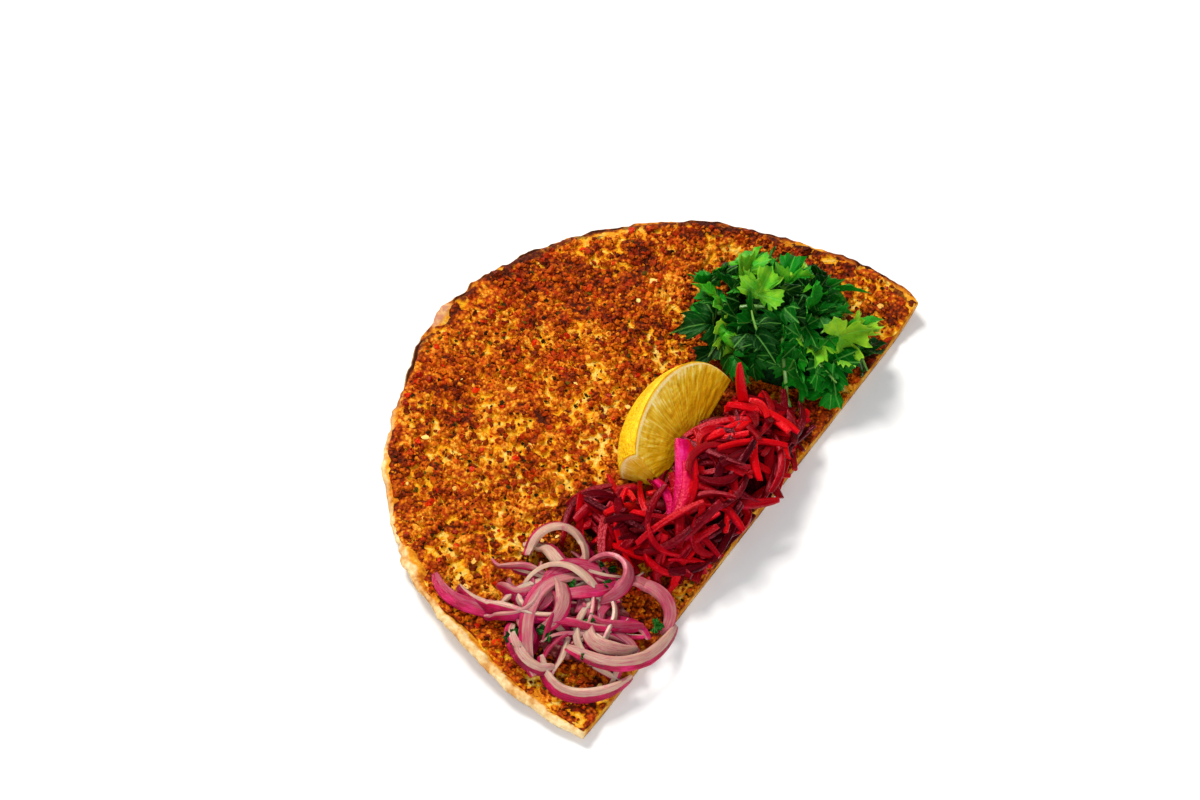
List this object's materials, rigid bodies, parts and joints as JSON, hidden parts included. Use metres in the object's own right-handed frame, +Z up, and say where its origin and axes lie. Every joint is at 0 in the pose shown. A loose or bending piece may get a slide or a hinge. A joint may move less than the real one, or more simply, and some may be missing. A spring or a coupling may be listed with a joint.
{
  "type": "lahmacun",
  "caption": "Half of an oval lahmacun: thin flatbread baked with spiced minced meat, with parsley, shredded red cabbage, sliced onion and a lemon wedge.",
  "frame": {"origin": "middle of the underside of the whole part, garnish included, on the surface it lies on", "axes": "+Z up; +Y along the straight cut edge, towards the parsley; +X out of the cut edge, away from the round rim"},
  "size_m": [0.1522, 0.2262, 0.0342],
  "materials": {
    "baked_dough": "matt baked flatbread, floury and pale at the rim with brown scorched spots",
    "minced_meat": "crumbly baked minced meat with a satin oily sheen, orange to dark red-brown",
    "lemon": "wet pale yellow flesh, white pith and dimpled satin yellow rind",
    "red_cabbage": "wet glossy crimson shreds",
    "red_onion": "wet translucent cream to pink, magenta at the skin side",
    "parsley_leaf": "satin green leaf"
  },
  "bodies": {
    "root": {"flatbread": "baked_dough", "meat_topping": "minced_meat", "lemon_wedge": "lemon", "cabbage_shreds": "red_cabbage", "onion_slices": "red_onion", "parsley": "parsley_leaf"}
  },
  "joints": []
}
